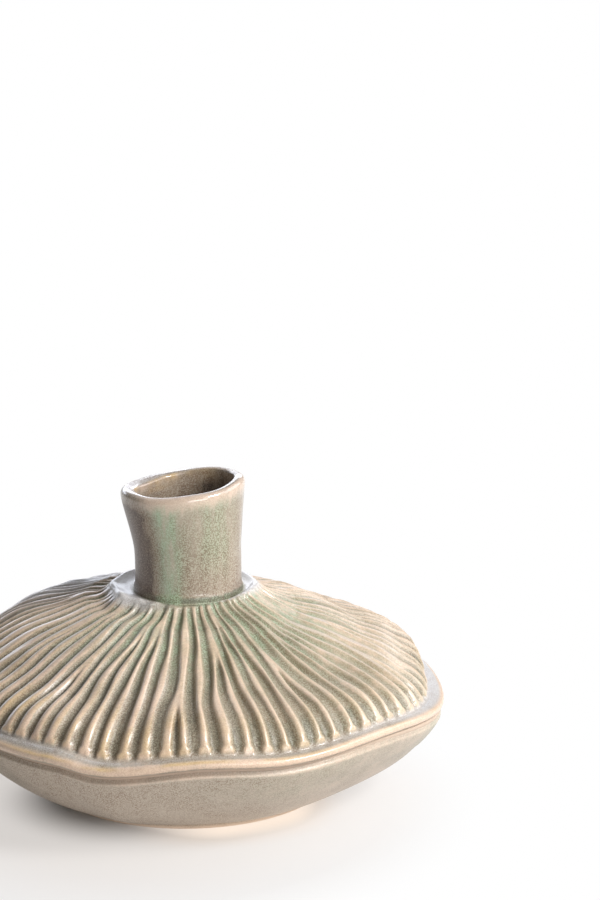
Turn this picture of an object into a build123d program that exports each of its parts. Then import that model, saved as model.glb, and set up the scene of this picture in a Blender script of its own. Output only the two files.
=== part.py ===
"""Squat hand-built stoneware vase: a shallow bowl, a carved dome luted on its rim, and a short neck.

Frame: millimetres, +Z up, origin at the centre of the flat foot. The front of the vase faces -Y.
Profiles are drawn in the XZ plane as (radius, height) points and revolved about Z.
"""

import math
import os

from build123d import *

# Lower bowl: the outer wall is one arc from the foot to the seam.
FOOT_RADIUS = 57.0
FOOT_EDGE = 1.2
FLOOR_THICKNESS = 6.5
BOWL_WALL = 6.0
BOWL_BULGE = 5.0
SEAM_RADIUS = 101.5
SEAM_HEIGHT = 37.0

# Slip that lutes the dome to the bowl, set back from both faces of the wall.
SEAM_SLIP_THICKNESS = 0.8
SEAM_SLIP_INSET = 1.4

# Dome: rolled lip, one arc up to the crown, flat seat for the neck and its collar.
LIP_OVERHANG = 3.0
LIP_DEPTH = 6.0
LIP_TOP_INSET = 2.0
LIP_NOSE_SHARE = 0.45
CROWN_RADIUS = 35.5
DOME_RISE = 32.7
DOME_BULGE = 7.0
DOME_WALL = 7.0

# Gouged grooves: long ones from the crown, and short ones between them where the dome widens.
# The short ones start at staggered places, in the order given, and all wander by a share of their spacing.
GROOVE_PAIRS = 40
GROOVE_TOOL_RADIUS = 2.6
GROOVE_DEPTH = 1.9
GROOVE_FLANGE = 2.2
GROOVE_ENTRY_RADIUS = 14.0
GROOVE_ENTRY_ANGLE = 42.0
GROOVE_EXIT_RADIUS = 3.2
GROOVE_EXIT_ANGLE = 80.0
LONG_GROOVE_CROWN_GAP = 9.0
SHORT_GROOVE_REACH = 32.0
SHORT_GROOVE_STAGGER = 4.0
SHORT_GROOVE_ORDER = (0, 2, 1)
GROOVE_WANDER = 0.10
GROOVE_WANDER_STEP = 2.4

# Neck: straight foot inside the collar, then a waist and a flare that lean to a tilted mouth.
NECK_FOOT_RADIUS = 21.3
NECK_WALL = 4.3
NECK_LENGTH = 49.5
NECK_FOOT_LENGTH = 9.0
NECK_WAIST_HEIGHT = 28.0
NECK_WAIST_RADIUS = 21.6
NECK_WAIST_LEAN = 0.8
MOUTH_RADIUS_X = 24.8
MOUTH_RADIUS_Y = 23.6
MOUTH_LEAN = 2.0
MOUTH_TILT = 4.0
MOUTH_ROUNDING = 1.7

# Slip that lutes the neck to the dome.
NECK_SLIP_THICKNESS = 0.8
NECK_SLIP_INSET = 0.8

# Collar: coil of clay pressed round the foot of the neck.
COLLAR_GAP = 0.15
COLLAR_SEAT_MARGIN = 0.8
COLLAR_HEIGHT = 7.4
COLLAR_NECK_HEIGHT = 6.0
COLLAR_CREST_RADIUS = 29.5
COLLAR_OUTER_SWELL = 1.4
COLLAR_TOP_SWELL = 0.5


class ProfileArc:
    """Arc in the (radius, height) plane that bulges to the right of the line from start to end."""

    def __init__(self, start, end, bulge):
        chord = math.dist(start, end)
        along_r = (end[0] - start[0]) / chord
        along_z = (end[1] - start[1]) / chord
        self.radius = (chord**2 / 4 + bulge**2) / (2 * bulge)
        drop = self.radius - bulge
        self.centre_r = (start[0] + end[0]) / 2 - along_z * drop
        self.centre_z = (start[1] + end[1]) / 2 + along_r * drop

    def at_height(self, height, inset=0.0):
        """Outer point at that height on the parallel arc that lies inset inside this one."""
        reach = (self.radius - inset) ** 2 - (height - self.centre_z) ** 2
        return (self.centre_r + math.sqrt(reach), height)

    def at_radius(self, radius, inset=0.0):
        """Upper point at that radius on the parallel arc that lies inset inside this one."""
        reach = (self.radius - inset) ** 2 - (radius - self.centre_r) ** 2
        return (radius, self.centre_z + math.sqrt(reach))


def profile_point(point):
    return Vector(point[0], 0, point[1])


def profile_line(*points):
    return Polyline(*[profile_point(point) for point in points])


def profile_arc(*points):
    return ThreePointArc(*[profile_point(point) for point in points])


def turned(*edges):
    """Solid of revolution about Z of the closed profile that the edges make."""
    return revolve(make_face(edges), Axis.Z)


def flat_ring(inner_radius, outer_radius, bottom, thickness):
    return Pos(0, 0, bottom) * extrude(Circle(outer_radius) - Circle(inner_radius), thickness)


# Places that the pieces share.
DOME_BASE = SEAM_HEIGHT + SEAM_SLIP_THICKNESS
LIP_TOP = DOME_BASE + LIP_DEPTH
LIP_RADIUS = SEAM_RADIUS + LIP_OVERHANG
LIP_TOP_RADIUS = LIP_RADIUS - LIP_TOP_INSET
SEAT_HEIGHT = LIP_TOP + DOME_RISE
NECK_BASE = SEAT_HEIGHT + NECK_SLIP_THICKNESS
NECK_BORE_RADIUS = NECK_FOOT_RADIUS - NECK_WALL
BOWL_ARC = ProfileArc((FOOT_RADIUS, 0), (SEAM_RADIUS, SEAM_HEIGHT), BOWL_BULGE)
DOME_ARC = ProfileArc((LIP_TOP_RADIUS, LIP_TOP), (CROWN_RADIUS, SEAT_HEIGHT), DOME_BULGE)
SEAM_INNER_RADIUS = BOWL_ARC.at_height(SEAM_HEIGHT, BOWL_WALL)[0]


def make_lower_bowl():
    """Shallow bowl with a flat foot, a floor and one curved wall."""
    outside = turned(
        profile_line((0, SEAM_HEIGHT), (0, 0), (FOOT_RADIUS, 0)),
        profile_arc(
            (FOOT_RADIUS, 0),
            BOWL_ARC.at_height(SEAM_HEIGHT / 2),
            (SEAM_RADIUS, SEAM_HEIGHT),
        ),
        profile_line((SEAM_RADIUS, SEAM_HEIGHT), (0, SEAM_HEIGHT)),
    )
    floor_edge = BOWL_ARC.at_height(FLOOR_THICKNESS, BOWL_WALL)
    rim_edge = (SEAM_INNER_RADIUS, SEAM_HEIGHT)
    wall_middle = BOWL_ARC.at_height((FLOOR_THICKNESS + SEAM_HEIGHT) / 2, BOWL_WALL)
    hollow = turned(
        profile_line(rim_edge, (0, SEAM_HEIGHT), (0, FLOOR_THICKNESS), floor_edge),
        profile_arc(floor_edge, wall_middle, rim_edge),
    )
    bowl = outside - hollow
    foot_edge = bowl.faces().sort_by(Axis.Z)[0].edges()
    return fillet(foot_edge, FOOT_EDGE)


def make_seam_slip():
    """Ring of slip in the seam between the bowl's rim and the dome."""
    return flat_ring(
        SEAM_INNER_RADIUS + SEAM_SLIP_INSET,
        SEAM_RADIUS - SEAM_SLIP_INSET,
        SEAM_HEIGHT,
        SEAM_SLIP_THICKNESS,
    )


def lift_out(point, direction, outward, radius, angle):
    """Arc that leaves the point along direction and curls away from the surface through angle."""

    def along(turn):
        lift = outward * (1 - math.cos(turn))
        return point + (direction * math.sin(turn) + lift) * radius

    return ThreePointArc(point, along(math.radians(angle / 2)), along(math.radians(angle)))


def groove_cutter(start_radius):
    """Round gouge that dips into the dome, runs at one depth and scoops out short of the lip."""
    tool_lift = GROOVE_TOOL_RADIUS - GROOVE_DEPTH
    exit_tip = GROOVE_EXIT_RADIUS + GROOVE_TOOL_RADIUS
    exit_reach = math.sqrt(exit_tip**2 - (GROOVE_EXIT_RADIUS + tool_lift) ** 2)
    end_radius = LIP_TOP_RADIUS - GROOVE_FLANGE - exit_reach
    cut = profile_arc(
        DOME_ARC.at_radius(start_radius, -tool_lift),
        DOME_ARC.at_radius((start_radius + end_radius) / 2, -tool_lift),
        DOME_ARC.at_radius(end_radius, -tool_lift),
    )
    start_way = cut % 0
    end_way = cut % 1
    entry = lift_out(
        cut @ 0,
        -start_way,
        Vector(-start_way.Z, 0, start_way.X),
        GROOVE_ENTRY_RADIUS,
        GROOVE_ENTRY_ANGLE,
    )
    scoop = lift_out(
        cut @ 1,
        end_way,
        Vector(-end_way.Z, 0, end_way.X),
        GROOVE_EXIT_RADIUS,
        GROOVE_EXIT_ANGLE,
    )
    section = Plane(origin=scoop @ 1, z_dir=-(scoop % 1)) * Circle(GROOVE_TOOL_RADIUS)
    return sweep(section, path=Wire([scoop, cut, entry]))


def make_grooves():
    """All gouge cuts, spaced a little unevenly round the dome as a hand leaves them."""
    pitch = 360 / GROOVE_PAIRS
    angles = [
        (i + GROOVE_WANDER * math.sin(GROOVE_WANDER_STEP * i)) * pitch for i in range(GROOVE_PAIRS)
    ]
    angles.append(angles[0] + 360)
    long_cutter = groove_cutter(CROWN_RADIUS + LONG_GROOVE_CROWN_GAP)
    short_cutters = [
        groove_cutter(LIP_TOP_RADIUS - SHORT_GROOVE_REACH + step * SHORT_GROOVE_STAGGER)
        for step in SHORT_GROOVE_ORDER
    ]
    cuts = []
    for i in range(GROOVE_PAIRS):
        cuts.append(Rot(0, 0, angles[i]) * long_cutter)
        between = (angles[i] + angles[i + 1]) / 2
        cuts.append(Rot(0, 0, between) * short_cutters[i % len(short_cutters)])
    return cuts


def make_carved_dome():
    """Upper shell with a rolled lip, gouged grooves and a flat seat round the neck's hole."""
    rim_inner = (SEAM_INNER_RADIUS, DOME_BASE)
    lip_bottom = (SEAM_RADIUS, DOME_BASE)
    nose = (LIP_RADIUS, DOME_BASE + LIP_NOSE_SHARE * LIP_DEPTH)
    lip_top = (LIP_TOP_RADIUS, LIP_TOP)
    dome_middle = DOME_ARC.at_radius((LIP_TOP_RADIUS + CROWN_RADIUS) / 2)
    crown = (CROWN_RADIUS, SEAT_HEIGHT)
    hole_top = (NECK_BORE_RADIUS, SEAT_HEIGHT)
    hole_bottom = (NECK_BORE_RADIUS, SEAT_HEIGHT - DOME_WALL)
    wall_middle = DOME_ARC.at_radius((SEAM_INNER_RADIUS + NECK_BORE_RADIUS) / 2, DOME_WALL)
    shell = turned(
        profile_line(rim_inner, lip_bottom),
        profile_arc(lip_bottom, nose, lip_top),
        profile_arc(lip_top, dome_middle, crown),
        profile_line(crown, hole_top, hole_bottom),
        profile_arc(hole_bottom, wall_middle, rim_inner),
    )
    return shell - make_grooves()


def make_neck_slip():
    """Ring of slip under the foot of the neck."""
    return flat_ring(
        NECK_BORE_RADIUS + NECK_SLIP_INSET,
        NECK_FOOT_RADIUS - NECK_SLIP_INSET,
        SEAT_HEIGHT,
        NECK_SLIP_THICKNESS,
    )


def mouth_section(inset):
    """Oval of the tilted mouth, drawn in by inset all round."""
    tilt = math.radians(MOUTH_TILT)
    plane = Plane(
        origin=(-MOUTH_LEAN, 0, NECK_BASE + NECK_LENGTH),
        x_dir=(math.cos(tilt), 0, math.sin(tilt)),
        z_dir=(-math.sin(tilt), 0, math.cos(tilt)),
    )
    return plane * Ellipse(MOUTH_RADIUS_X - inset, MOUTH_RADIUS_Y - inset)


def make_neck():
    """Tube with a straight foot and bore, and a flared mouth that leans, tilts and has a round lip."""
    waist = NECK_BASE + NECK_WAIST_HEIGHT
    outside = Pos(0, 0, NECK_BASE) * extrude(Circle(NECK_FOOT_RADIUS), NECK_FOOT_LENGTH)
    outside += loft([
        Pos(0, 0, NECK_BASE + NECK_FOOT_LENGTH) * Circle(NECK_FOOT_RADIUS),
        Pos(-NECK_WAIST_LEAN, 0, waist) * Circle(NECK_WAIST_RADIUS),
        mouth_section(0),
    ])
    bore = Pos(0, 0, NECK_BASE) * extrude(Circle(NECK_BORE_RADIUS), NECK_WAIST_HEIGHT)
    bore += loft([Pos(0, 0, waist) * Circle(NECK_BORE_RADIUS), mouth_section(NECK_WALL)])
    neck = outside - bore
    lip = neck.faces().sort_by(Axis.Z)[-1]
    return fillet(lip.edges(), MOUTH_ROUNDING)


def make_collar_coil():
    """Coil round the neck's foot, steep outside and dished towards the neck."""
    inner_radius = NECK_FOOT_RADIUS + COLLAR_GAP
    outer_radius = CROWN_RADIUS - COLLAR_SEAT_MARGIN
    inner_foot = (inner_radius, SEAT_HEIGHT)
    inner_top = (inner_radius, SEAT_HEIGHT + COLLAR_NECK_HEIGHT)
    crest = (COLLAR_CREST_RADIUS, SEAT_HEIGHT + COLLAR_HEIGHT)
    outer_foot = (outer_radius, SEAT_HEIGHT)
    side_middle = (
        (crest[0] + outer_foot[0]) / 2 + COLLAR_OUTER_SWELL,
        (crest[1] + outer_foot[1]) / 2 + COLLAR_OUTER_SWELL,
    )
    top_middle = (
        (crest[0] + inner_top[0]) / 2,
        (crest[1] + inner_top[1]) / 2 + COLLAR_TOP_SWELL,
    )
    return turned(
        profile_line(inner_top, inner_foot, outer_foot),
        profile_arc(outer_foot, side_middle, crest),
        profile_arc(crest, top_middle, inner_top),
    )


PIECES = {
    "lower_bowl": make_lower_bowl,
    "seam_slip": make_seam_slip,
    "carved_dome": make_carved_dome,
    "neck_slip": make_neck_slip,
    "neck": make_neck,
    "collar_coil": make_collar_coil,
}

os.makedirs("parts", exist_ok=True)
for name, make in PIECES.items():
    export_step(make(), f"parts/{name}.step")
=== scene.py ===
"""Looks of a squat carved stoneware vase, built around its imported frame.

Metres, +Z up, origin at the centre of the foot. The front of the vase faces -Y.
Outlines are (radius, height) points that are spun about Z. Places round the vase are azimuths in degrees
from +X, so -90 is the front, 0 the right and 180 the left.
"""

import math

import bmesh
import bpy
import numpy as np
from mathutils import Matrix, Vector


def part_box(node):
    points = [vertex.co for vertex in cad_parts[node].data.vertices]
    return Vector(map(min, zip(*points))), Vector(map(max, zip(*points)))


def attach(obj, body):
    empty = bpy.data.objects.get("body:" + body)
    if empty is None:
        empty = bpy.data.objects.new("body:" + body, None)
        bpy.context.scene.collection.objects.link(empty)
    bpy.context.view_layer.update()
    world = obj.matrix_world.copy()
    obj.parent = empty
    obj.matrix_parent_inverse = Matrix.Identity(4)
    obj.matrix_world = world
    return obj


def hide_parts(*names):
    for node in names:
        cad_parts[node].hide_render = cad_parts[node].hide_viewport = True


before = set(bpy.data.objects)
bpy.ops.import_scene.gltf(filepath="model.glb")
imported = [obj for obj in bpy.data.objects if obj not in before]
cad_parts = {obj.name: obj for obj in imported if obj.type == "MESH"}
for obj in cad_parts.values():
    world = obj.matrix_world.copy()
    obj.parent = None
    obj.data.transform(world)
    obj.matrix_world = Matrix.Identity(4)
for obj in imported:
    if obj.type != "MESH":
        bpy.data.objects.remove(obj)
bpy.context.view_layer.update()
MM = 0.001

# Lower bowl
# A shallow bowl of stoneware clay, pressed in a mould and wiped bare at its flat foot before firing.
# Its wall is one curve up to the rim, which waves a little because the seam was pinched by hand, and which
# was pushed out under the dome's lip at the front right.
bowl_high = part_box("lower_bowl")[1]
SEAM_RADIUS = bowl_high.x
SEAM_HEIGHT = bowl_high.z
FOOT_RADIUS = 57 * MM
FOOT_EDGE = 1.2 * MM
FOOT_ROUND = 0.8 * MM
FOOT_SWELL = 0.25 * MM
FOOT_HEIGHT = 2.2 * MM
FLOOR_THICKNESS = 6.5 * MM
FLOOR_FLARE = 5 * MM
BOWL_BULGE = 5 * MM
BOWL_WALL = 6 * MM
RIM_SLANT = 1.18
RIM_ROUND = 0.7 * MM
RECESS_HEIGHT = 2.3 * MM
RECESS_DEPTH = 1.1 * MM
MARGIN = 0.1 * MM
BOWL_TURNS = 360
WEDGES = 24

# Waves of the pinched rim: azimuth and lift in millimetres.
RIM_WAVES = (
    (-180, 1.5), (-136, 1.5), (-121, 1.2), (-110, -1.1), (-86, 2.8), (-68, 1.4), (-46, 3.1), (-4, -3.0),
    (16, -1.6), (48, -1.2), (66, -2.0), (96, 0.4), (116, -0.6), (150, 1.8), (180, 1.5),
)
# Places round the vase: centre and spread.
FULL_SIDE = (-10, 50)
CLOSED_SEAM = (-22, 34)
FULLNESS = 1.6 * MM
RIM_FLARE = 1.7 * MM
SEAM_FILL = 0.9 * RECESS_DEPTH

# Marks in the glaze: a level, and patches round the vase as height, centre and spread.
# The glaze's patches are painted shade at the left and painted light at the front right.
BOWL_GLAZE_AND_SHADE = (0.46, (-0.15, -25, 42), (0.3, -155, 40))
BOWL_GREEN = (0, (0.15, -62, 26), (0.35, -14, 14), (0.3, -165, 20))
# Iron brown in the seam recess under the lip, partly painted shade.
SEAM_IRON_AND_SHADE = (0.05, (0.35, -100, 50))
RIM_THINNING = 0.25
WIPED_LINE = (0.9 * MM, 1.8 * MM)
WIPED_WAVE = 0.4 * MM
GREEN_RISE = (14 * MM, 26 * MM)


def arc(start, end, bulge, steps):
    """Points of an arc that bulges to the right of the line from start to end, both ends included."""
    chord = math.dist(start, end)
    along = ((end[0] - start[0]) / chord, (end[1] - start[1]) / chord)
    radius = (chord**2 / 4 + bulge**2) / (2 * bulge)
    half = math.asin(chord / 2 / radius)
    points = []
    for i in range(steps + 1):
        turn = half * (2 * i / steps - 1)
        out = radius * (math.cos(turn) - math.cos(half))
        run = chord / 2 + radius * math.sin(turn)
        points.append((
            start[0] + along[0] * run + along[1] * out,
            start[1] + along[1] * run - along[0] * out,
        ))
    return points


def bend(points, steps, crowd=1.0):
    """Points of a Bezier curve over the given control points. A crowd over 1 draws them to its start."""
    curve = []
    for i in range(steps + 1):
        share = (i / steps) ** crowd
        hull = points
        while len(hull) > 1:
            pairs = zip(hull, hull[1:])
            hull = [(a[0] + (b[0] - a[0]) * share, a[1] + (b[1] - a[1]) * share) for a, b in pairs]
        curve.append(hull[0])
    return curve


def spun(name, outline, turns, closed):
    """Object whose mesh is the outline spun about Z: one wedge first, then copies of it round the axis."""
    shape = bmesh.new()
    points = [shape.verts.new((r, 0, z)) for r, z in outline]
    pairs = list(zip(points, points[1:]))
    if closed:
        pairs.append((points[-1], points[0]))
    edges = [shape.edges.new(pair) for pair in pairs]
    wedge = math.tau / WEDGES
    bmesh.ops.spin(
        shape, geom=points + edges, cent=(0, 0, 0), axis=(0, 0, 1), angle=wedge, steps=turns // WEDGES,
    )
    bmesh.ops.spin(
        shape, geom=shape.verts[:] + shape.edges[:] + shape.faces[:], cent=(0, 0, 0), axis=(0, 0, 1),
        angle=math.tau - wedge, steps=WEDGES - 1, use_duplicate=True,
    )
    bmesh.ops.remove_doubles(shape, verts=shape.verts, dist=0.01 * MM)
    bmesh.ops.recalc_face_normals(shape, faces=shape.faces)
    mesh = bpy.data.meshes.new(name)
    shape.to_mesh(mesh)
    shape.free()
    mesh.shade_smooth()
    piece = bpy.data.objects.new(name, mesh)
    bpy.context.collection.objects.link(piece)
    return piece


def points_of(piece):
    """Array of the piece's vertices, with their azimuths and radii."""
    places = np.empty(len(piece.data.vertices) * 3)
    piece.data.vertices.foreach_get("co", places)
    places = places.reshape(-1, 3)
    return places, np.arctan2(places[:, 1], places[:, 0]), np.hypot(places[:, 0], places[:, 1])


def keep_points(piece, places, **marks):
    """Writes moved vertices back to the piece, and each mark as a point attribute of its mesh."""
    piece.data.vertices.foreach_set("co", places.ravel())
    for name, values in marks.items():
        piece.data.attributes.new(name, "FLOAT", "POINT").data.foreach_set("value", values)
    piece.data.update()


def ease(low, high, value):
    """Smooth step from 0 at low to 1 at high."""
    share = np.clip((value - low) / (high - low), 0, 1)
    return share * share * (3 - 2 * share)


def bell(value, centre, spread):
    """Bell of height 1 round a centre."""
    return np.exp(-((value - centre) / spread) ** 2)


def near(azimuth, centre, spread):
    """Bell of height 1 round a place on the vase, which is given with its spread in degrees."""
    off = (azimuth - math.radians(centre) + math.pi) % math.tau - math.pi
    return bell(off, 0, math.radians(spread))


def patchy(azimuth, level, *patches):
    """A level with patches added round the vase, each given by its height, centre and spread."""
    return level + sum(height * near(azimuth, centre, spread) for height, centre, spread in patches)


def push_out(places, azimuth, reach):
    """Moves points away from the axis by their reach."""
    places[:, 0] += reach * np.cos(azimuth)
    places[:, 1] += reach * np.sin(azimuth)


rim_angles = np.radians([angle for angle, lift in RIM_WAVES])
rim_lifts = np.array([lift for angle, lift in RIM_WAVES]) * MM


def pinched(places, azimuth, share):
    """Moves points up and out with the waves that pinching left in the rim, by their share of it."""
    last = np.clip(np.searchsorted(rim_angles, azimuth) - 1, 0, len(rim_angles) - 2)
    passed = ease(rim_angles[last], rim_angles[last + 1], azimuth)
    reach = (0.6 * np.cos(3 * azimuth + 0.5) + 0.4 * np.cos(7 * azimuth + 2.0)) * MM
    places[:, 2] += share * (rim_lifts[last] * (1 - passed) + rim_lifts[last + 1] * passed)
    push_out(places, azimuth, share * reach)
    return places


rim_inner = SEAM_RADIUS - BOWL_WALL * RIM_SLANT
floor_edge = FOOT_RADIUS + FLOOR_FLARE
foot_side = FOOT_RADIUS + FOOT_EDGE
bowl_edge = SEAM_HEIGHT - RECESS_HEIGHT
recess = SEAM_RADIUS - RECESS_DEPTH
bowl_outline = [(0, 0)]
bowl_outline += arc((FOOT_RADIUS, 0), (foot_side, FOOT_ROUND), FOOT_SWELL, steps=3)
bowl_outline += arc((foot_side, FOOT_HEIGHT), (SEAM_RADIUS, bowl_edge), BOWL_BULGE, steps=40)
bowl_outline += bend([
    (SEAM_RADIUS, bowl_edge),
    (SEAM_RADIUS + 0.1 * MM, bowl_edge + RIM_ROUND),
    (recess + 0.4 * MM, bowl_edge + RIM_ROUND),
    (recess, SEAM_HEIGHT),
], steps=7)[1:]
bowl_outline += [(rim_inner, SEAM_HEIGHT)]
bowl_outline += arc((rim_inner, SEAM_HEIGHT), (floor_edge, FLOOR_THICKNESS), -BOWL_BULGE, steps=12)[1:]
bowl_outline += [(0, FLOOR_THICKNESS)]

bowl = spun("glazed_bowl", bowl_outline, BOWL_TURNS, closed=False)
places, azimuth, radius = points_of(bowl)
height = places[:, 2].copy()
closed_up = near(azimuth, *CLOSED_SEAM)
fuller = FULLNESS * near(azimuth, *FULL_SIDE) * np.sin(math.pi * np.clip(height / bowl_edge, 0, 1))
fuller = fuller * (radius > floor_edge)
flare = RIM_FLARE * closed_up * ease(0.55 * bowl_edge, bowl_edge, height)
fuller = fuller + flare * (radius > rim_inner + MARGIN)
fill = SEAM_FILL * closed_up * ease(bowl_edge, SEAM_HEIGHT, height)
fuller = fuller + fill * (radius > recess - MARGIN)
push_out(places, azimuth, fuller)

wiped_height = height + WIPED_WAVE * np.sin(5 * azimuth) * np.sin(13 * azimuth)
bare = 1 - ease(*WIPED_LINE, wiped_height)
bowl_green = ease(*GREEN_RISE, height) * patchy(azimuth, *BOWL_GREEN)
rim_thin = ease(bowl_edge - 1.2 * MM, bowl_edge, height) * (1 - 0.9 * closed_up)
# Glaze level with painted shade at the left and painted light at the front right, thinner at the rim.
bowl_glaze_and_shade = patchy(azimuth, *BOWL_GLAZE_AND_SHADE) - RIM_THINNING * rim_thin
# Iron brown in the seam recess under the lip, partly painted shade.
bowl_iron = patchy(azimuth, *SEAM_IRON_AND_SHADE) * ease(bowl_edge + 0.3 * MM, bowl_edge + 1.2 * MM, height)
places = pinched(places, azimuth, ease(FOOT_RADIUS, rim_inner, radius))
keep_points(bowl, places, glaze=bowl_glaze_and_shade, green=bowl_green, bare=bare, iron=bowl_iron)

COPPER_GREEN = "#A6BA9B"
OCHRE = "#DBBC86"
# Iron brown, partly used as painted shade.
IRON_AND_SHADE_BROWN = "#8E7868"
# Pale white, mostly used for painted reflections and painted highlights.
MILK_AND_SHEEN_WHITE = "#D9D8D8"
DARK_SPECK = "#B79E90"
PALE_SPECK = "#D3CCB8"
BARE_CLAY = "#FBE3CC"
BARE_ROUGHNESS = 0.8
GLAZE_IOR = 1.52
COAT_ROUGHNESS = 0.07
CLOUD_SIZE = 14 * MM
GRAIN_SIZE = 1.4 * MM
RUN_WIDTH = 3.2 * MM
RUN_STRETCH = 0.15
# Real specks are finer than a pixel of the view, so they are drawn just coarse enough to show.
SPECK_SIZE = 0.52 * MM


def linear(hex_colour):
    """Linear RGBA of an sRGB hex colour."""
    parts = [int(hex_colour[i:i + 2], 16) / 255 for i in (1, 3, 5)]
    return [p / 12.92 if p <= 0.04045 else ((p + 0.055) / 1.055) ** 2.4 for p in parts] + [1]


def add_node(tree, kind, inputs=None, **settings):
    """Adds a node with its settings. Inputs, by number or name, are values or other nodes' outputs."""
    made = tree.nodes.new(kind)
    for name, value in settings.items():
        setattr(made, name, value)
    for socket, value in (inputs or {}).items():
        if isinstance(value, bpy.types.NodeSocket):
            tree.links.new(value, made.inputs[socket])
        else:
            made.inputs[socket].default_value = value
    return made.outputs


def stoneware_glaze(name, coat, broken, pooled, speckle, rough, streaky, gloss):
    """Satin stoneware glaze, brushed and fired: it breaks to a paler tan on edges, where it runs thin, and
    pools darker and duller in hollows, with blushes of copper green and ochre and fine ferrous specks.
    Two of its marks also carry painted shade and painted pale reflections."""
    material = bpy.data.materials.new(name)
    material.use_nodes = True
    tree = material.node_tree
    shader = tree.nodes["Principled BSDF"]
    place = add_node(tree, "ShaderNodeTexCoord")["Object"]
    drip = add_node(tree, "ShaderNodeMapping", {"Vector": place, "Scale": (1, 1, RUN_STRETCH)})[0]

    marks = {}
    for mark in ("glaze", "green", "ochre", "iron", "milky", "bare"):
        marks[mark] = add_node(tree, "ShaderNodeAttribute", attribute_name=mark)["Fac"]

    noises = {}
    for noise, vector, size, detail, roughness in (
        ("clouds", place, CLOUD_SIZE, 3, 0.5),
        ("grain", place, GRAIN_SIZE, 3, 0.7),
        ("specks", place, SPECK_SIZE, 1, 0.5),
        ("runs", drip, RUN_WIDTH, 3, 0.5),
    ):
        noises[noise] = add_node(tree, "ShaderNodeTexNoise", {
            "Vector": vector, "Scale": 1 / size, "Detail": detail, "Roughness": roughness,
        })[0]

    depth = marks["glaze"]
    for noise, weight in (("clouds", 0.5), ("grain", 0.3), ("runs", streaky)):
        depth = add_node(tree, "ShaderNodeMath", {0: noises[noise], 1: weight, 2: depth},
                         operation="MULTIPLY_ADD")[0]
    depth = add_node(tree, "ShaderNodeMath", {0: depth, 1: -0.4 - 0.5 * streaky}, operation="ADD")[0]

    ramps = {}
    for ramp, value, low, high, start, end in (
        ("coated", depth, 0.08, 0.42, 0, 1),
        ("pooled", depth, 0.6, 0.95, 0, 1),
        ("green_runs", noises["runs"], 0.3, 0.62, 0.25, 1),
        ("ochre_clouds", noises["clouds"], 0.35, 0.65, 0, 1),
        ("dark_specks", noises["specks"], 0.44, 0.58, 0, 1),
        ("speck_depth", depth, 0.2, 0.6, 0.35 * speckle, speckle),
        ("speck_runs", noises["runs"], 0.35, 0.6, 0.65, 1),
        ("pale_specks", noises["specks"], 0.44, 0.28, 0, 0.3 * speckle),
        ("rough", depth, 0.25, 0.85, rough, rough + 0.2),
        ("gloss", depth, 0.3, 0.7, gloss, 0.2 * gloss),
    ):
        ramps[ramp] = add_node(tree, "ShaderNodeMapRange", {0: value, 1: low, 2: high, 3: start, 4: end},
                               interpolation_type="SMOOTHSTEP")[0]

    shares = {}
    for share, first, second in (
        ("green", marks["green"], ramps["green_runs"]),
        ("ochre", marks["ochre"], ramps["ochre_clouds"]),
        ("deep_specks", ramps["dark_specks"], ramps["speck_depth"]),
    ):
        shares[share] = add_node(tree, "ShaderNodeMath", {0: first, 1: second}, operation="MULTIPLY")[0]
    specks = add_node(tree, "ShaderNodeMath", {0: shares["deep_specks"], 1: ramps["speck_runs"]},
                      operation="MULTIPLY")[0]

    colour = linear(broken)
    for share, tint, kind in (
        (ramps["coated"], coat, "MIX"),
        (ramps["pooled"], pooled, "MIX"),
        (shares["green"], COPPER_GREEN, "MIX"),
        (shares["ochre"], OCHRE, "MIX"),
        # Iron brown, partly painted shade under the lip and down the neck's left side.
        (marks["iron"], IRON_AND_SHADE_BROWN, "MIX"),
        # Pale white, mostly painted reflections on flats and painted highlights on ridges.
        (marks["milky"], MILK_AND_SHEEN_WHITE, "MIX"),
        (specks, DARK_SPECK, "MULTIPLY"),
        (ramps["pale_specks"], PALE_SPECK, "MIX"),
        (marks["bare"], BARE_CLAY, "MIX"),
    ):
        colour = add_node(tree, "ShaderNodeMix", {0: share, 6: colour, 7: linear(tint)}, data_type="RGBA",
                          blend_type=kind)[2]
    roughness = add_node(tree, "ShaderNodeMix", {0: marks["bare"], 2: ramps["rough"], 3: BARE_ROUGHNESS})[0]
    bump = add_node(tree, "ShaderNodeBump", {
        "Height": noises["clouds"], "Distance": 0.25 * MM, "Strength": 0.5,
    })[0]
    tree.links.new(colour, shader.inputs["Base Color"])
    tree.links.new(roughness, shader.inputs["Roughness"])
    tree.links.new(bump, shader.inputs["Normal"])
    tree.links.new(ramps["gloss"], shader.inputs["Coat Weight"])
    shader.inputs["IOR"].default_value = GLAZE_IOR
    shader.inputs["Coat Roughness"].default_value = COAT_ROUGHNESS
    return material


bowl.data.materials.append(stoneware_glaze(
    "taupe_glaze", coat="#C0B3A2", broken="#DAC3AF", pooled="#A19787",
    speckle=0.75, rough=0.42, streaky=0.05, gloss=0.08,
))
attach(bowl, "root")
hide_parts("lower_bowl")

# Seam slip
# A ring of slip squeezed between the bowl's rim and the dome. It lies back in the seam, where it fired dark,
# and with the painted shade on the lip and the bowl beside it shows as the brown line under the lip.
slip_low, slip_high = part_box("seam_slip")
SLIP_INSET = SEAM_RADIUS - slip_high.x
SLIP_SMEAR = 0.5 * MM
SLIP_SWELL = 0.3 * MM
# Slip paler away from the front left.
SLIP_PALER = (0.6, (-0.6, -110, 70))
SLIP_DARK = "#AF9986"
SLIP_LIGHT = "#C7B19E"
SLIP_PALE = "#C9B6A2"
SLIP_ROUGHNESS = 0.6
GRIT_SIZE = 2 * MM

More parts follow.
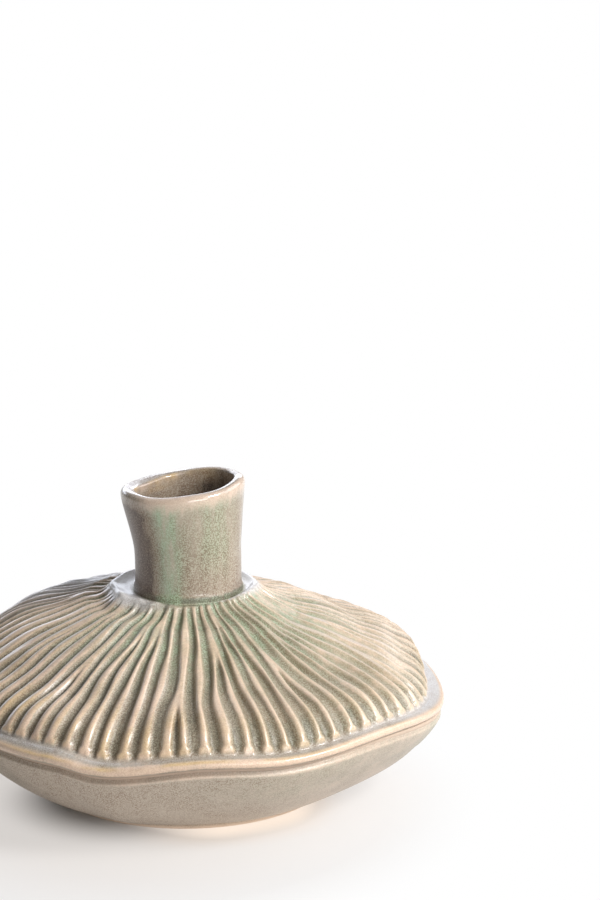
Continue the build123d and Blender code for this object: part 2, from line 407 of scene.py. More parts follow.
slip_inner = rim_inner + SLIP_INSET
slip_face = recess - MARGIN
slip_bottom = (slip_face, slip_low.z - SLIP_SMEAR)
slip_top = (slip_face, slip_high.z + SLIP_SMEAR)
slip_outline = arc(slip_bottom, slip_top, SLIP_SWELL, steps=6)
slip_outline += [(slip_inner, slip_high.z), (slip_inner, slip_low.z)]
slip = spun("seam_slip_ring", slip_outline, BOWL_TURNS, closed=True)
places, azimuth, radius = points_of(slip)
squeezed = (RIM_FLARE + SEAM_FILL) * near(azimuth, *CLOSED_SEAM)
push_out(places, azimuth, squeezed * (radius > slip_inner + MARGIN))
places = pinched(places, azimuth, np.ones_like(azimuth))
keep_points(slip, places, worn=patchy(azimuth, *SLIP_PALER))

# Fired slip is dry clay stained by iron: matt, slightly gritty, and paler away from the front left.
slip_clay = bpy.data.materials.new("fired_slip")
slip_clay.use_nodes = True
tree = slip_clay.node_tree
shader = tree.nodes["Principled BSDF"]
place = add_node(tree, "ShaderNodeTexCoord")["Object"]
worn = add_node(tree, "ShaderNodeAttribute", attribute_name="worn")["Fac"]
grit = add_node(tree, "ShaderNodeTexNoise", {"Vector": place, "Scale": 1 / GRIT_SIZE, "Detail": 4})[0]
colour = linear(SLIP_DARK)
for share, tint in ((grit, SLIP_LIGHT), (worn, SLIP_PALE)):
    colour = add_node(tree, "ShaderNodeMix", {0: share, 6: colour, 7: linear(tint)}, data_type="RGBA")[2]
bump = add_node(tree, "ShaderNodeBump", {"Height": grit, "Distance": 0.1 * MM, "Strength": 0.6})[0]
tree.links.new(colour, shader.inputs["Base Color"])
tree.links.new(bump, shader.inputs["Normal"])
shader.inputs["Roughness"].default_value = SLIP_ROUGHNESS
slip.data.materials.append(slip_clay)
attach(slip, "root")
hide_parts("seam_slip")

# Carved dome
# The upper shell, turned over a hump and luted to the bowl. Its edge is rolled to a lip, and its outside is
# gouged by hand in ribs that fan out from the neck, with new ribs let in where the dome widens.
dome_low, dome_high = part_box("carved_dome")
collar_low, collar_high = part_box("collar_coil")
LIP_RADIUS = dome_high.x
DOME_BASE = dome_low.z
SEAT_HEIGHT = collar_low.z
LIP_LOW = DOME_BASE + 0.3 * MM
LIP_TOP = DOME_BASE + 4.3 * MM
LIP_ROUND = 1.85 * MM
LIP_SWELL = 0.3 * MM
FLANGE_INNER = 100.6 * MM
FLANGE_HEIGHT = LIP_TOP + 0.3 * MM
RIB_FOOT = 99.4 * MM
RIB_FOOT_TOP = FLANGE_HEIGHT + 1.6 * MM
SHOULDER = (99.5 * MM, 63 * MM)
UPPER_SLOPE = (62.6 * MM, 65.1 * MM)
CROWN_RADIUS = 37.5 * MM
GUTTER_RADIUS = 32 * MM
GUTTER_DEPTH = 2 * MM
SEAT_RADIUS = 31 * MM
DOME_WALL = 7 * MM
DOME_HOLLOW = 9 * MM
NECK_HOLE_RADIUS = 17 * MM
DOME_TURNS = 960

# Gouged grooves: their depth by radius, and where new ones are let in, all in millimetres. A new groove is
# given by its radius, the scatter of that radius, and its place in each cycle of grooves.
GROOVES = 80
GROOVE_CYCLE = 8
NEW_GROOVES = ((36, 4, 0), (70, 14, 3), (48, 7, 6))
GOUGE_RADII = (23, 32, 50, 80, 95)
GOUGE_DEPTHS = (0.7, 1.3, 1.75, 2.05, 2.3)
BROAD_SIDE = (-158, 42)
THIN_SIDE = (0, 45)
SHALLOW_SIDE = (-5, 45)

# Zones round the dome: height, centre and spread, then the radii in millimetres where they start and end.
# Grooves paler towards the right.
PALER_GROOVES = (0.5, -14, 48, 98, 90)
# Painted shade that tones down the strongly lit upper right.
UPPER_RIGHT_SHADE = (0.16, -45, 28, 66, 48)
LEFT_COAT = (0.05, -135, 28, 90, 76)
CROWN_GREEN = (0.25, -118, 25, 62, 42)
# Painted highlights on the ridge tops at the right.
RIDGE_HIGHLIGHTS = (0.45, -8, 36, 96, 84)
RIDGE_OCHRE = (0.5, -125, 35, 80, 95)
# Painted pale sheen on the ribs at the back left.
BACK_SHEEN = (1, 136, 28, 96, 84)
DRAWN_IN_RIGHT = (2.2 * MM, -4, 18, 72, 96)
PUSHED_OUT_BACK = (2.0 * MM, 28, 16, 72, 96)
RAISED_LEFT = (1.7 * MM, -124, 22, 80, 96)
RAISED_RIGHT = (2.2 * MM, 12, 28, 88, 98)
SLACK_SIDES = (0, (1, -142, 45), (1, -38, 45))
SLACK_IN = 4.5 * MM
SLACK_DOWN = 7 * MM
RIGHT_DENT = (24, 34)
FULL_BACK = (152, 34)
LUMPY_LIP = (-107, 16)
LUMP_HEIGHT = 0.35 * MM

FLAT_GLAZE = 0.38
LIP_THINNING = 0.3
RIDGE_GLAZE = (0.15, (-0.02, -172, 40), (-0.07, -15, 42))
FLANK_GLAZE = (0.04, (0.14, -15, 45))
RIB_GREEN = (0.18, -35, 45)
LIP_OCHRE = (0.315, (0.585, -108, 40))
# Iron brown under the lip, partly painted shade.
LIP_IRON_AND_SHADE = (0.05, (0.45, -100, 50))
# Painted pale reflection on the flange, strongest at the right.
FLANGE_SHEEN = (0.15, (0.75, 5, 45), (0.35, -145, 35))


def normals_of(piece):
    """Array of the normals at the piece's vertices."""
    normals = np.empty(len(piece.data.vertices) * 3)
    piece.data.vertex_normals.foreach_get("vector", normals)
    return normals.reshape(-1, 3)


def zone(azimuth, radius, height, centre, spread, start, full):
    """Patch round the vase that grows from nothing at the start radius to its height at the full radius."""
    return height * near(azimuth, centre, spread) * ease(start * MM, full * MM, radius)


draw = np.random.default_rng(7)
groove_share = draw.uniform(0.82, 1.18, GROOVES)
groove_depth = draw.uniform(0.8, 1.15, GROOVES)
groove_sway = draw.uniform(0, math.tau, GROOVES)
groove_start = np.zeros(GROOVES)
cycles = GROOVES // GROOVE_CYCLE
sides = np.tile((-1, 1), cycles // 2)
for start, scatter, first in NEW_GROOVES:
    groove_start[first::GROOVE_CYCLE] = (start + scatter * sides * draw.uniform(0.2, 1, cycles)) * MM


def gouged(azimuth, radius):
    """Depth of the grooves at points of the dome, its share of the full depth, and three marks there: how
    thick the glaze lies, with painted shade at the upper right, how green it is, and painted highlights on
    the ridges."""
    drift = 0.4 * MM * np.sin(3 * azimuth + radius / (16 * MM) + 0.7)
    drift += 0.15 * MM * np.sin(7 * azimuth - radius / (11 * MM) + 2.0)
    turn = (azimuth + drift / radius) / math.tau % 1
    widened = ease(groove_start - 12 * MM, groove_start + 34 * MM, radius[:, None])
    room = groove_share * (0.14 + 0.86 * widened)
    edges = np.cumsum(room, axis=1)
    spot = turn * edges[:, -1]
    groove = np.minimum((edges <= spot[:, None]).sum(axis=1), GROOVES - 1)
    row = np.arange(len(radius))
    passed = 1 - np.clip((edges[row, groove] - spot) / room[row, groove], 0, 1)

    # A groove sways along its run. Across it, 0 is its middle and 1 the ridge beside it.
    phase = groove_sway[groove]
    low_down = ease(72 * MM, 97 * MM, radius)
    sway = 0.42 * (1 - 0.6 * low_down) * np.sin(radius / (7 * MM) + phase)
    passed = passed + sway * passed * (1 - passed)
    across = np.abs(2 * passed - 1) * (1.04 + 0.1 * np.sin(radius / (10 * MM) + 5 * phase))
    at_foot = ease(RIB_FOOT - 0.3 * MM, RIB_FOOT + 0.05 * MM, radius)
    across = np.minimum(across * (1 + 0.6 * at_foot), 1)

    # Ridges are round in front, thin at the right and undercut on one side at the left.
    broad = near(azimuth, *BROAD_SIDE)
    behind = passed > 0.5
    thin = near(azimuth, *THIN_SIDE) * (1 - low_down)
    rise = (1 - thin) * ease(0.22, 0.94, across) + thin * np.minimum(across / 0.93, 1) ** 2.2
    undercut = np.where(behind, ease(0.02, 0.55, across), ease(0.1, 1.0, across))
    rise = (1 - broad) * rise + broad * undercut
    opened = ease(groove_start[groove], groove_start[groove] + 14 * MM, radius)
    share = opened * (1 - rise)
    full = np.interp(radius / MM, GOUGE_RADII, GOUGE_DEPTHS) * MM
    full = full * (1 - 0.3 * near(azimuth, *SHALLOW_SIDE)) * groove_depth[groove]
    full = full * (1 - 0.35 * ease(0.3, 1, np.sin(radius / (13 * MM) + 9 * phase)))
    swell = 0.3 * MM * np.sin(31 * azimuth + radius / (7 * MM)) * np.sin(11 * azimuth - radius / (13 * MM))

    # The grooves are paler towards the right.
    pooling = 0.7 - zone(azimuth, radius, *PALER_GROOVES)
    glaze = patchy(azimuth, *RIDGE_GLAZE) + pooling * ease(0.12, 0.8, share)
    # Painted shade at the strongly lit upper right, and a little thicker glaze at the back left.
    glaze = glaze + zone(azimuth, radius, *UPPER_RIGHT_SHADE) + zone(azimuth, radius, *LEFT_COAT)
    glaze = glaze + bell(across, 0.78, 0.1) * opened * patchy(azimuth, *FLANK_GLAZE)
    green = (0.05 + 0.55 * share**2) * ease(88 * MM, 40 * MM, radius)
    green = green + patchy(azimuth, 0, RIB_GREEN) + zone(azimuth, radius, *CROWN_GREEN)
    # Painted highlights: along the upper flank of the undercut ridges at the left, and on ridge tops at the
    # right.
    white = bell(across, 0.62, 0.16) * behind * opened * broad
    white = white + ease(0.2, 0.02, share) * zone(azimuth, radius, *RIDGE_HIGHLIGHTS)
    return full * share - swell, share, glaze, green, white


def settled(places, azimuth, radius):
    """Moves points of the upper shell as it sank on its bowl: uneven, dented at the right, full at the back
    left and slack at the front shoulders, with the rim's waves at its edge."""
    uneven = (2.1 - 2.5 * np.cos(azimuth) + 1.6 * np.sin(azimuth)) * MM
    places[:, 2] += ease(30 * MM, 45 * MM, radius) * ease(92 * MM, 60 * MM, radius) * uneven
    dent = (1.2 * bell(radius, 56 * MM, 9 * MM) - 1.76 * bell(radius, 74 * MM, 8 * MM)) * MM
    places[:, 2] += dent * near(azimuth, *RIGHT_DENT)
    places[:, 2] += 3 * MM * bell(radius, 76 * MM, 13 * MM) * near(azimuth, *FULL_BACK)
    along = 0.85 * np.sqrt(np.clip((RIB_FOOT - radius) / (RIB_FOOT - CROWN_RADIUS), 0, 1))
    slack = 3 * along * (1 - along) ** 2 * ease(38 * MM, 44 * MM, places[:, 2])
    slack = slack * patchy(azimuth, *SLACK_SIDES)
    push_out(places, azimuth, -SLACK_IN * slack)
    places[:, 2] -= SLACK_DOWN * slack
    return pinched(places, azimuth, ease(74 * MM, 97 * MM, radius))


dome_slope = bend([
    (RIB_FOOT, RIB_FOOT_TOP), SHOULDER, UPPER_SLOPE, (CROWN_RADIUS, SEAT_HEIGHT),
], steps=66, crowd=1.1)
dome_outline = bend([
    (recess, DOME_BASE),
    (LIP_RADIUS - 1.4 * MM, DOME_BASE + 0.5 * MM),
    (LIP_RADIUS + LIP_SWELL, LIP_LOW + 0.9 * MM),
    (LIP_RADIUS + LIP_SWELL, LIP_TOP - 0.4 * MM),
    (LIP_RADIUS - LIP_ROUND, LIP_TOP),
], steps=12)
dome_outline += [(FLANGE_INNER + 1.2 * MM, LIP_TOP + 0.2 * MM)]
dome_outline += bend([
    (FLANGE_INNER, FLANGE_HEIGHT), (RIB_FOOT + 0.2 * MM, FLANGE_HEIGHT), (RIB_FOOT, RIB_FOOT_TOP),
], steps=6)
dome_outline += dome_slope[1:]
dome_outline += [
    (CROWN_RADIUS - 0.6 * MM, SEAT_HEIGHT - GUTTER_DEPTH),
    (GUTTER_RADIUS, SEAT_HEIGHT - GUTTER_DEPTH),
    (SEAT_RADIUS, SEAT_HEIGHT),
    (NECK_HOLE_RADIUS, SEAT_HEIGHT),
]
hole_bottom = (NECK_HOLE_RADIUS, SEAT_HEIGHT - DOME_WALL)
dome_outline += arc(hole_bottom, (rim_inner, DOME_BASE), -DOME_HOLLOW, steps=7)

dome = spun("gouged_dome", dome_outline, DOME_TURNS, closed=True)
places, azimuth, radius = points_of(dome)
normals = normals_of(dome)
height = places[:, 2]
outside = (normals[:, 2] > -0.2) & (radius > CROWN_RADIUS - MARGIN) & (radius < FLANGE_INNER + MARGIN)
outside = outside & (height > FLANGE_HEIGHT - MARGIN)
rib_foot_share = ease(FLANGE_HEIGHT, RIB_FOOT_TOP + 0.6 * MM, height)
ribbed = outside * np.where(radius > 90 * MM, rib_foot_share, 1)
on_lip = (radius > FLANGE_INNER) & (height > DOME_BASE + MARGIN)
crest = on_lip * ease(LIP_TOP - 1.1 * MM, LIP_TOP - 0.3 * MM, height) * ease(102.2 * MM, 103 * MM, radius)
face = on_lip * ease(LIP_LOW + 0.5 * MM, LIP_LOW + 1.8 * MM, height) * ease(102.6 * MM, 103.6 * MM, radius)
under = on_lip * ease(LIP_LOW + 1.3 * MM, LIP_LOW + 0.2 * MM, height)
rolled = np.maximum(crest, face)

depth, share, glaze, green, white = gouged(azimuth, radius)
upright = ease(54 * MM, 47 * MM, radius)[:, None]
normals = normals * (1 - upright) + np.array((0, 0, 1)) * upright
places -= normals * (depth * ribbed)[:, None]
pushed = zone(azimuth, radius, *PUSHED_OUT_BACK) - zone(azimuth, radius, *DRAWN_IN_RIGHT)
push_out(places, azimuth, pushed * outside)
lumps = LUMP_HEIGHT * near(azimuth, *LUMPY_LIP) * np.sin(41 * azimuth) * np.sin(23 * azimuth + 1)
height += lumps * rolled
raised = zone(azimuth, radius, *RAISED_LEFT) + zone(azimuth, radius, *RAISED_RIGHT)
height += raised * ease(103.5 * MM, 100 * MM, radius) * (height > FLANGE_HEIGHT - 0.2 * MM)

flange = on_lip * (1 - rolled) * (height > LIP_TOP - MARGIN) + outside * (1 - ribbed)
# Painted pale sheen on the ribs at the back left, where the glaze is also painted thinner.
at_back = zone(azimuth, radius, *BACK_SHEEN) * ribbed
ridge = ribbed * (1 - share)
dome_glaze_and_sheen = FLAT_GLAZE + ribbed * (glaze - FLAT_GLAZE) - LIP_THINNING * rolled - 0.35 * at_back
dome_ochre = crest * patchy(azimuth, *LIP_OCHRE) + ridge * (0.22 + zone(azimuth, radius, *RIDGE_OCHRE))
# Iron brown under the lip, partly painted shade where the lip overhangs the seam.
dome_iron = under * patchy(azimuth, *LIP_IRON_AND_SHADE)
# Painted pale reflections on the flange, painted highlights on the ridges, and the painted sheen at the back
# left.
dome_sheen = flange * patchy(azimuth, *FLANGE_SHEEN) + 0.85 * ribbed * white
dome_sheen = np.minimum(dome_sheen + at_back * (1 - 0.35 * share), 1)
keep_points(
    dome, settled(places, azimuth, radius),
    glaze=dome_glaze_and_sheen, green=green * ribbed, ochre=dome_ochre, iron=dome_iron, milky=dome_sheen,
)
broken_glaze = stoneware_glaze(
    "broken_glaze", coat="#AA9D88", broken="#E4C9B0", pooled="#7E7866",
    speckle=0.75, rough=0.3, streaky=0.1, gloss=0.25,
)
dome.data.materials.append(broken_glaze)
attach(dome, "root")
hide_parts("carved_dome")

# Neck slip
# A thin ring of slip that lutes the neck's foot to the dome, squeezed flat inside the joint. It is the same
# dark slip as in the seam, and only shows when the vase is apart.
neck_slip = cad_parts["neck_slip"]
neck_slip.data.materials.clear()
neck_slip.data.materials.append(slip_clay)

# Neck
# A short tube rolled from a slab and luted to the dome. It leans a little to the left and flares to a mouth
# that was left uneven: tilted up to the right, flattened at the back left, with a thick soft lip.
NECK_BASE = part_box("neck")[0].z
NECK_FOOT_RADIUS = 21.7 * MM
NECK_LENGTH = 50 * MM
NECK_STEPS = 80
STEPS_TO_LIP = 74
NECK_TURNS = 240
NECK_LEAN = 2 * MM
WAIST = 22 * MM
MOUTH_FLARE = 3.5 * MM
LIP_WIDTH = 4.5 * MM
LIP_ROUNDING = 3.9 * MM
LIP_HALF = 2.2 * MM
MOUTH_DROP = 0.8 * MM

# Shape of the mouth, in millimetres, and marks of the glaze: a level, and patches round the neck.
MOUTH_SWING = (0, (0.6, -135, 30), (0.8, 45, 30), (-1.2, 135, 30))
MOUTH_OPENING = (0, (0.4, 45, 40), (-2.2, 148, 44))
FLAT_LIP = (140, 45)
TILT_DIP = (142, 30)
GREEN_RUNS = (0, (1.2, -109, 12), (0.6, 30, 14), (0.7, 100, 16), (0.5, 165, 12))
UPPER_RUN = (-60, 30)
# Glaze pooled green at the neck's foot, darkened further as painted shade in the crease at the collar.
FOOT_POOL_AND_SHADE = (0.4, (0.6, -80, 60))
# Glaze thinner on the green run, and painted shade on the lit right.
NECK_GLAZE_AND_SHADE = (0.5, (-0.25, -116, 12), (0.12, -20, 30))
# Inside the neck, painted shade darkens the bore towards the back right.
BORE_GLAZE_AND_SHADE = (0.5, (0.45, 20, 70))
# Painted shade down the neck's left side, with a little browner glaze.
PAINTED_SHADE_SIDE = (-160, 30)
LEFT_LIP = (165, 55)
LIP_EDGE_IRON = (0, (0.35, 135, 50))
LIP_EDGE_OCHRE = (0, (1.9, 130, 58))


def neck_radius(height):
    """Outer radius of the neck at a height above its foot: straight to the waist, then flared."""
    flare = np.clip((height - WAIST) / (NECK_LENGTH - WAIST), 0, 1)
    return NECK_FOOT_RADIUS + MOUTH_FLARE * flare**1.2


neck_heights = [NECK_LENGTH * i / NECK_STEPS for i in range(STEPS_TO_LIP)]
neck_outline = [(neck_radius(h), NECK_BASE + h) for h in neck_heights]
mouth_outer = neck_outline[-1]
mouth_top = mouth_outer[1] + LIP_ROUNDING
mouth_inner = mouth_outer[0] - LIP_WIDTH
neck_outline += bend([
    mouth_outer,
    (mouth_outer[0] + 0.3 * MM, mouth_top - 1 * MM),
    (mouth_outer[0] - 0.6 * MM, mouth_top),
    (mouth_outer[0] - 2.6 * MM, mouth_top),
], steps=10)[1:]
neck_outline += bend([
    (mouth_inner + 0.8 * MM, mouth_top - 0.3 * MM),
    (mouth_inner, mouth_top - 0.3 * MM),
    (mouth_inner, mouth_top - 1.2 * MM),
], steps=4)
neck_outline += [
    (max(neck_radius(h) - LIP_WIDTH, NECK_HOLE_RADIUS), NECK_BASE + h) for h in reversed(neck_heights[:-4:4])
]
neck = spun("flared_neck", neck_outline, NECK_TURNS, closed=True)
places, azimuth, radius = points_of(neck)
above_foot = places[:, 2] - NECK_BASE
height = above_foot / NECK_LENGTH
up = ease(0.3, 1.0, height)
inside = radius < neck_radius(above_foot) - LIP_HALF
mouth = 0.6 * np.cos(2 * azimuth) + patchy(azimuth, *MOUTH_SWING)
opening = ease(0.75, 0.95, height) * inside * patchy(azimuth, *MOUTH_OPENING)
foot_flare = 0.7 * ease(8.2 * MM, 6.2 * MM, above_foot) * (1 - inside)
push_out(places, azimuth, (up * mouth + opening + foot_flare) * MM)
places[:, 0] -= NECK_LEAN * up
tilt = 2.05 * np.cos(azimuth - 0.17) - 0.6 * near(azimuth, *TILT_DIP)
tilt = tilt + 0.4 * np.cos(2 * azimuth) + 0.2 * np.cos(5 * azimuth + 1)
places[:, 2] += ease(0.5, 1.0, height) * tilt * MM
at_mouth = inside * ease(0.88, 0.95, height)
depth_in = neck_radius(places[:, 2] - NECK_BASE) - radius
inner_edge = at_mouth * ease(3.0 * MM, 4.3 * MM, depth_in)
places[:, 2] -= MOUTH_DROP * at_mouth * near(azimuth, *FLAT_LIP)

lip_thin = ease(0.8, 0.95, height)
# Pooled glaze at the neck's foot, darkened further as painted shade in the crease at the collar.
foot_pool_and_shade = (1 - ease(0.125, 0.155, height)) * patchy(azimuth, *FOOT_POOL_AND_SHADE)
runs = patchy(azimuth, *GREEN_RUNS) + 0.5 * near(azimuth, *UPPER_RUN) * ease(0.1, 0.6, height)
# Painted shade down the neck's left side, carried by thicker glaze and iron brown.
dark = near(azimuth, *PAINTED_SHADE_SIDE) * (1 - lip_thin)
at_left = near(azimuth, *LEFT_LIP) * (1 - inner_edge) * lip_thin
outer_glaze_and_shade = patchy(azimuth, *NECK_GLAZE_AND_SHADE) - 0.42 * lip_thin + 0.45 * foot_pool_and_shade + 0.85 * dark
# Inside the neck, painted shade darkens the bore towards the back right.
bore_glaze_and_shade = patchy(azimuth, *BORE_GLAZE_AND_SHADE) - 0.3 * ease(0.9, 0.97, height)
neck_glaze_and_shade = np.where(inside, bore_glaze_and_shade, outer_glaze_and_shade) + 0.45 * at_left
neck_green = np.where(inside, 0, runs * ease(0.97, 0.85, height) + 0.5 * foot_pool_and_shade)
neck_iron = np.where(inside, inner_edge * patchy(azimuth, *LIP_EDGE_IRON), 0.5 * dark)
neck_ochre = inner_edge * patchy(azimuth, *LIP_EDGE_OCHRE)
# Whiter inside the lip at the back left.
neck_left_white = 0.45 * at_left * inside
keep_points(
    neck, places, glaze=neck_glaze_and_shade, green=neck_green, ochre=neck_ochre, iron=neck_iron, milky=neck_left_white,
)
neck.data.materials.append(stoneware_glaze(
    "running_glaze", coat="#AA9C8A", broken="#D2BCA8", pooled="#5E5147",
    speckle=0.8, rough=0.2, streaky=0.55, gloss=0.7,
))
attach(neck, "root")
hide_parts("neck")

# Collar coil
# A coil of soft clay pressed round the neck's foot and smeared down onto the dome, with the ribs carved up
# over its side. It was pushed close to the neck in front and left wide at the left, where glaze pools.
COLLAR_FOOT = 40.4 * MM
CREST_RADIUS = 28.6 * MM
NECK_GAP = 0.1 * MM
# Smeared edge: radius, and height over the dome's own outline, in millimetres.
COLLAR_SMEAR = ((48, -1.2), (46.5, -0.35), (45, -0.08), (43, 0.12))
CREST_OUT = (-0.9, (2.2, -152, 10), (-0.8, -172, 10))
CREST_LIFT = (0, (-2.2, -90, 55), (1.3, -152, 10))
LUMPY_CREST = (-130, 35)
SMOOTH_LEDGE = (4, (-4.8, -60, 55), (1.0, -128, 24))
LEDGE_GLAZE = (0.25, (0.2, -122, 26))
LEDGE_GREEN = (0, (0.3, -118, 24))
# Painted pale reflection on the ledge, everywhere but in front.
LEDGE_SHEEN = (1, (-1, -95, 32))

crest_height = collar_high.z - NECK_GAP
neck_side = NECK_FOOT_RADIUS + NECK_GAP
slope_radii, slope_heights = zip(*reversed(dome_slope[:-1]))


def on_dome(radius, above):
    """Outline point a little above or below the dome's own outline."""
    return radius, np.interp(radius, slope_radii, slope_heights) + above


collar_outline = [on_dome(smear * MM, above * MM) for smear, above in COLLAR_SMEAR]
collar_outline += bend([
    on_dome(COLLAR_FOOT, 0.3 * MM),
    (COLLAR_FOOT - 6 * MM, SEAT_HEIGHT + 1.6 * MM),
    (CREST_RADIUS + 1.5 * MM, crest_height - 1.2 * MM),
], steps=18)
crest_inner = (CREST_RADIUS - 1.2 * MM, crest_height - 0.2 * MM)
collar_outline += arc(collar_outline[-1], crest_inner, 0.8 * MM, steps=6)[1:]
collar_outline += arc(collar_outline[-1], (neck_side, crest_height - 1.3 * MM), -0.5 * MM, steps=8)[1:]
collar_outline += [(neck_side, SEAT_HEIGHT), (SEAT_RADIUS, SEAT_HEIGHT), on_dome(COLLAR_FOOT, -2 * MM)]
collar = spun("pressed_collar", collar_outline, DOME_TURNS, closed=True)
places, azimuth, radius = points_of(collar)
normals = normals_of(collar)
top = places[:, 2] > np.interp(radius, slope_radii, slope_heights) - 1.3 * MM
top = top & ((radius > GUTTER_RADIUS) | (places[:, 2] > SEAT_HEIGHT + 0.3 * MM))
pressed = ease(neck_side, CREST_RADIUS, radius) * ease(COLLAR_FOOT, CREST_RADIUS, radius) * top
lumpy = near(azimuth, *LUMPY_CREST)
out = patchy(azimuth, *CREST_OUT) - 1.9 * np.cos(azimuth) + 2.75 * np.sin(azimuth) + 1.4 * np.cos(2 * azimuth)
out = out + 0.5 * lumpy * np.sin(17 * azimuth + 1)
out = out + 0.2 * np.sin(8 * azimuth + 2) + 0.15 * np.sin(13 * azimuth)
lift = patchy(azimuth, *CREST_LIFT) + 0.3 * np.cos(3 * azimuth + 1) + 0.45 * lumpy * np.sin(23 * azimuth)
radius = radius + pressed * out * MM
places[:, 0] = radius * np.cos(azimuth)
places[:, 1] = radius * np.sin(azimuth)
places[:, 2] += pressed * lift * MM

depth, _, glaze, green, _ = gouged(azimuth, radius)
smooth = patchy(azimuth, *SMOOTH_LEDGE)
ledge_edge = CREST_RADIUS + (out - 1 + 0.4 * smooth) * MM
side_edge = CREST_RADIUS + (out + 1.5 + smooth) * MM
on_side = ease(ledge_edge, side_edge, radius)
own_way = ease(38 * MM, 33 * MM, radius)[:, None]
normals = normals * own_way + np.array((0, 0, 1)) * (1 - own_way)
places -= normals * (depth * on_side * top)[:, None]
# Glaze pooled green round the neck's foot, darkened further as painted shade in the crease.
pool_and_shade = ease(24.5 * MM, 22 * MM, radius)
ledge = 1 - on_side
collar_glaze_and_shade = ledge * patchy(azimuth, *LEDGE_GLAZE) + on_side * glaze + 0.5 * pool_and_shade
collar_green = ledge * patchy(azimuth, *LEDGE_GREEN) + on_side * green + 0.8 * pool_and_shade
# Painted pale reflection on the ledge.
collar_sheen = ledge * (1 - pool_and_shade) * top * patchy(azimuth, *LEDGE_SHEEN)
keep_points(
    collar, settled(places, azimuth, radius), glaze=collar_glaze_and_shade, green=collar_green, milky=collar_sheen,
)
collar.data.materials.append(broken_glaze)
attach(collar, "root")
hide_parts("collar_coil")

# Stage
# White paper sweep under soft studio light: a softbox high on the right, white walls round about, and the
# left side left open, so that the vase shades off to the left.
FLOOR_REACH = 12
FLOOR_GAP = 0.1 * MM
PAPER_WHITE = "#E2E0DE"
NEAR_WHITE = "#FFFAF6"
FAR_WHITE = "#FFFFFF"
FOOT_GLOW = "#FFEDDC"
SHADE_CENTRE = (-28 * MM, -22 * MM, 0)
LEAST_GLOW = 0.25

floor_shape = bmesh.new()
bmesh.ops.create_grid(floor_shape, x_segments=1, y_segments=1, size=FLOOR_REACH)
bmesh.ops.translate(floor_shape, vec=(0, 0, -FLOOR_GAP), verts=floor_shape.verts)
floor_mesh = bpy.data.meshes.new("paper_floor")
floor_shape.to_mesh(floor_mesh)
floor_shape.free()
floor = bpy.data.objects.new("paper_floor", floor_mesh)
bpy.context.collection.objects.link(floor)

# Matt white paper with a painted glow: it goes over to plain white away from a shade centre left of the foot,
# so the reach of the vase's shadow is painted. Close to the foot a warm painted glow stands in for light that
# the vase throws back, and a little of the glow lights the vase too.
paper = bpy.data.materials.new("white_paper")
paper.use_nodes = True
tree = paper.node_tree
shader = tree.nodes["Principled BSDF"]
shader.inputs["Base Color"].default_value = linear(PAPER_WHITE)
shader.inputs["Roughness"].default_value = 0.9
shader.inputs["Specular IOR Level"].default_value = 0.1
place = add_node(tree, "ShaderNodeTexCoord")["Object"]
sideways = add_node(tree, "ShaderNodeSeparateXYZ", {0: place})["X"]
from_foot = add_node(tree, "ShaderNodeVectorMath", {0: place}, operation="LENGTH")["Value"]
from_shade = add_node(tree, "ShaderNodeVectorMath", {0: place, 1: SHADE_CENTRE},
                      operation="DISTANCE")["Value"]
ramps = {}
for ramp, value, low, high, start, end in (
    ("close", from_shade, 22, 54, 0, 0.6),
    ("far", from_shade, 60, 150, 0, 1),
    ("foot", from_foot, 60, 83, 1, 0),
    ("left_end", sideways, -35, 15, 0, 1),
    ("right_end", sideways, 66, 40, 0, 1),
):
    ramps[ramp] = add_node(tree, "ShaderNodeMapRange", {
        0: value, 1: low * MM, 2: high * MM, 3: start, 4: end,
    }, interpolation_type="SMOOTHSTEP")[0]
hug = ramps["foot"]
for end in ("left_end", "right_end"):
    hug = add_node(tree, "ShaderNodeMath", {0: hug, 1: ramps[end]}, operation="MULTIPLY")[0]
lit = ramps["close"]
for share in (ramps["far"], hug):
    lit = add_node(tree, "ShaderNodeMath", {0: lit, 1: share}, operation="MAXIMUM")[0]
rays = add_node(tree, "ShaderNodeLightPath")
seen = rays["Is Camera Ray"]
for ray in (rays["Is Glossy Ray"], rays["Is Transmission Ray"], LEAST_GLOW):
    seen = add_node(tree, "ShaderNodeMath", {0: seen, 1: ray}, operation="MAXIMUM")[0]
lit = add_node(tree, "ShaderNodeMath", {0: lit, 1: seen}, operation="MULTIPLY")[0]
white = linear(NEAR_WHITE)
for share, tint in ((ramps["far"], FAR_WHITE), (hug, FOOT_GLOW)):
    white = add_node(tree, "ShaderNodeMix", {0: share, 6: white, 7: linear(tint)}, data_type="RGBA")[2]
glow = add_node(tree, "ShaderNodeEmission", {"Color": white, "Strength": 1.0})[0]
surface = add_node(tree, "ShaderNodeMixShader", {0: lit, 1: shader.outputs[0], 2: glow})[0]
tree.links.new(surface, tree.nodes["Material Output"].inputs["Surface"])
floor_mesh.materials.append(paper)

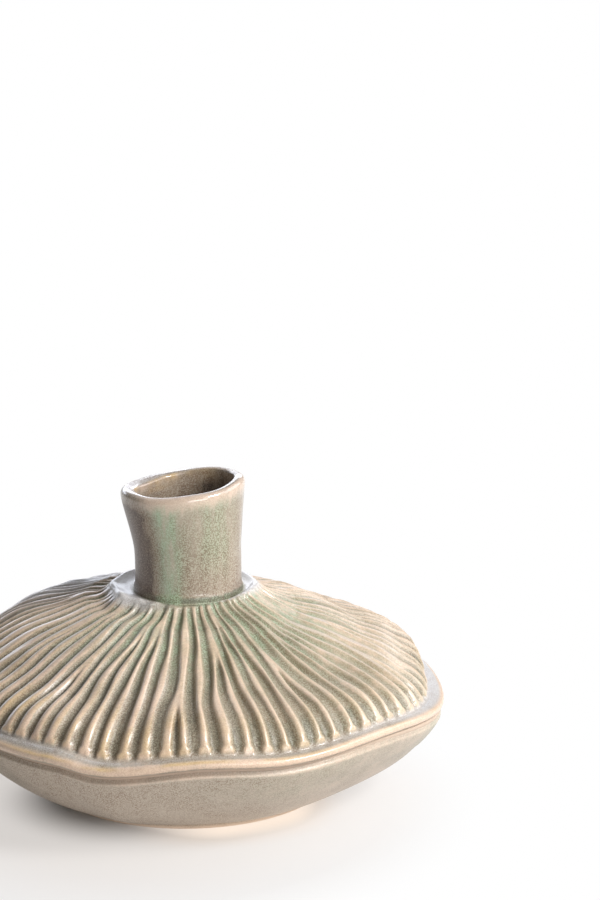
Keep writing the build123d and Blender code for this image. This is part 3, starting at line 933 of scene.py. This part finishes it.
# The room is plain white to the camera, dimmer in the glaze, and only a trace of light on the vase.
ROOM_IN_GLAZE = 0.34
ROOM_LIGHT = 0.08
world = bpy.data.worlds.new("white_room")
bpy.context.scene.world = world
world.use_nodes = True
tree = world.node_tree
rays = add_node(tree, "ShaderNodeLightPath")
mirrored = add_node(tree, "ShaderNodeMath", {0: rays["Is Glossy Ray"], 1: ROOM_IN_GLAZE, 2: ROOM_LIGHT},
                    operation="MULTIPLY_ADD")[0]
level = add_node(tree, "ShaderNodeMath", {0: rays["Is Camera Ray"], 1: mirrored}, operation="MAXIMUM")[0]
tree.links.new(level, tree.nodes["Background"].inputs["Strength"])
tree.nodes["Background"].inputs["Color"].default_value = (1, 1, 1, 1)

AIM_HEIGHT = 0.05


def softbox(name, azimuth, elevation, distance, width, height, power, tint="#FFFFFF"):
    """Area lamp aimed at the vase. Its azimuth is to the right of the camera, in degrees."""
    lamp = bpy.data.lights.new(name, "AREA")
    lamp.shape = "RECTANGLE"
    lamp.size = width
    lamp.size_y = height
    lamp.energy = power
    lamp.color = linear(tint)[:3]
    turn = math.radians(azimuth)
    rise = math.radians(elevation)
    spot = bpy.data.objects.new(name, lamp)
    spot.location = (
        distance * math.cos(rise) * math.sin(turn),
        -distance * math.cos(rise) * math.cos(turn),
        distance * math.sin(rise) + AIM_HEIGHT,
    )
    spot.rotation_euler = (math.pi / 2 - rise, 0, turn)
    bpy.context.collection.objects.link(spot)


softbox("key_softbox", 58, 37, distance=1.6, width=0.5, height=0.5, power=21)
softbox("front_fill", 25, 12, distance=2.0, width=1.2, height=0.6, power=13)
softbox("right_wall", 105, 34, distance=1.8, width=1.6, height=1.2, power=16, tint="#F0F4FF")
softbox("top_panel", 200, 64, distance=1.8, width=1.2, height=1.2, power=3.2, tint="#EEF3FF")
softbox("back_wall", 196, 16, distance=2.2, width=2.4, height=0.6, power=14, tint="#EEF3FF")

# Camera
# The photograph's view: from the front, a little above, with the vase low and left in a tall frame.
CAMERA_BACK = 1.005
CAMERA_HEIGHT = 0.381
LOOK_DOWN = 13.5
LOOK_RIGHT = 2.6
camera = bpy.data.cameras.new("view")
camera.lens = 102.3
camera.sensor_width = 36
viewer = bpy.data.objects.new("view", camera)
viewer.location = (0, -CAMERA_BACK, CAMERA_HEIGHT)
viewer.rotation_euler = (math.radians(90 - LOOK_DOWN), 0, math.radians(-LOOK_RIGHT))
bpy.context.collection.objects.link(viewer)
bpy.context.scene.camera = viewer
bpy.context.scene.view_settings.view_transform = "Standard"
